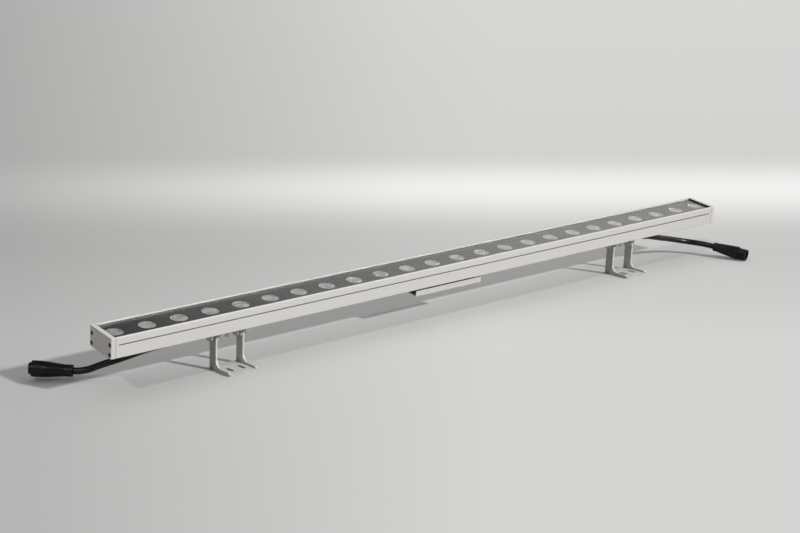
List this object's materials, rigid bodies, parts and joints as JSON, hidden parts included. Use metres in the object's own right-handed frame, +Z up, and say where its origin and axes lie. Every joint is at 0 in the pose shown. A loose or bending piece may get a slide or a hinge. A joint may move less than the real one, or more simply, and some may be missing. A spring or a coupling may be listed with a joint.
{
  "type": "wall washer light",
  "caption": "Slim linear wall washer bar with a row of lenses under glass, on two swivelling foot brackets, with a cable lead and round connector at each end.",
  "frame": {"origin": "on the ground plane, under the middle of the box that holds the bar and its feet", "axes": "+X along the bar towards the plug lead, +Y away from the front of the feet, +Z up along the light"},
  "size_m": [1.064, 0.1882, 0.0805],
  "materials": {
    "painted_body": "fine satin powder coat, light warm grey",
    "painted_bracket": "satin powder coat on folded sheet",
    "seal_rubber": "matt silicone",
    "dark_screw": "dark socket head screw",
    "black_plate": "matt black plate",
    "cover_glass": "clear toughened glass",
    "lens_clear": "clear moulded lens with a fine frosted crown",
    "board_white": "white solder resist",
    "led_yellow": "phosphor in a small white package",
    "stainless": "stainless fastener",
    "black_moulding": "fine-textured black moulding",
    "cable_rubber": "matt black cable sheath",
    "black_nut": "ribbed black nylon"
  },
  "bodies": {
    "lamp": {"housing": "painted_body", "end_cap_left": "painted_body", "end_cap_right": "painted_body", "end_gasket_left": "seal_rubber", "end_gasket_right": "seal_rubber", "end_cap_screws": "dark_screw", "lens_mask": "black_plate", "glass_seal": "seal_rubber", "glass_cover": "cover_glass", "lens_01": "lens_clear", "lens_02": "lens_clear", "lens_03": "lens_clear", "lens_04": "lens_clear", "lens_05": "lens_clear", "lens_06": "lens_clear", "lens_07": "lens_clear", "lens_08": "lens_clear", "lens_09": "lens_clear", "lens_10": "lens_clear", "lens_11": "lens_clear", "lens_12": "lens_clear", "lens_13": "lens_clear", "lens_14": "lens_clear", "lens_15": "lens_clear", "lens_16": "lens_clear", "lens_17": "lens_clear", "lens_18": "lens_clear", "lens_19": "lens_clear", "lens_20": "lens_clear", "lens_21": "lens_clear", "lens_22": "lens_clear", "lens_23": "lens_clear", "lens_24": "lens_clear", "led_board_left": "board_white", "led_board_right": "board_white", "led_emitters": "led_yellow", "board_screws": "stainless", "wiring_cover": "painted_body", "cover_screws": "stainless", "gland_left": "black_moulding", "cable_left": "cable_rubber", "gland_right": "black_moulding", "cable_right": "cable_rubber", "socket_body": "black_moulding", "socket_insert": "black_moulding", "pin_body": "black_moulding", "threaded_ring": "black_nut"},
    "clip_left": {"clip_left": "painted_bracket", "clip_fixing_left": "stainless", "pivot_bolts_left": "stainless", "pivot_nuts_left": "stainless", "pivot_washers_left": "stainless"},
    "clip_right": {"clip_right": "painted_bracket", "clip_fixing_right": "stainless", "pivot_bolts_right": "stainless", "pivot_nuts_right": "stainless", "pivot_washers_right": "stainless"},
    "foot_left": {"foot_left": "painted_bracket"},
    "foot_right": {"foot_right": "painted_bracket"},
    "coupling_nut": {"coupling_nut": "black_nut"}
  },
  "joints": [
    {"name": "bracket_slide_left", "type": "slide", "parent": "lamp", "child": "clip_left", "axis": [1, 0, 0], "range_m": [-0.004, 0.24]},
    {"name": "bracket_slide_right", "type": "slide", "parent": "lamp", "child": "clip_right", "axis": [1, 0, 0], "range_m": [-0.24, 0.004]},
    {"name": "foot_tilt_left", "type": "hinge", "parent": "clip_left", "child": "foot_left", "pos_m": [-0.332, 0.00615, 0.0405], "axis": [1, 0, 0], "range_deg": [-82.65, 97.35]},
    {"name": "foot_tilt_right", "type": "hinge", "parent": "clip_right", "child": "foot_right", "pos_m": [0.332, 0.00615, 0.0405], "axis": [1, 0, 0], "range_deg": [-82.65, 97.35]},
    {"name": "coupling_nut_turn", "type": "hinge", "parent": "lamp", "child": "coupling_nut", "pos_m": [-0.52591, 0.104, 0.01408], "axis": [-0.7678, 0.6374, 0.0645], "continuous": true}
  ]
}
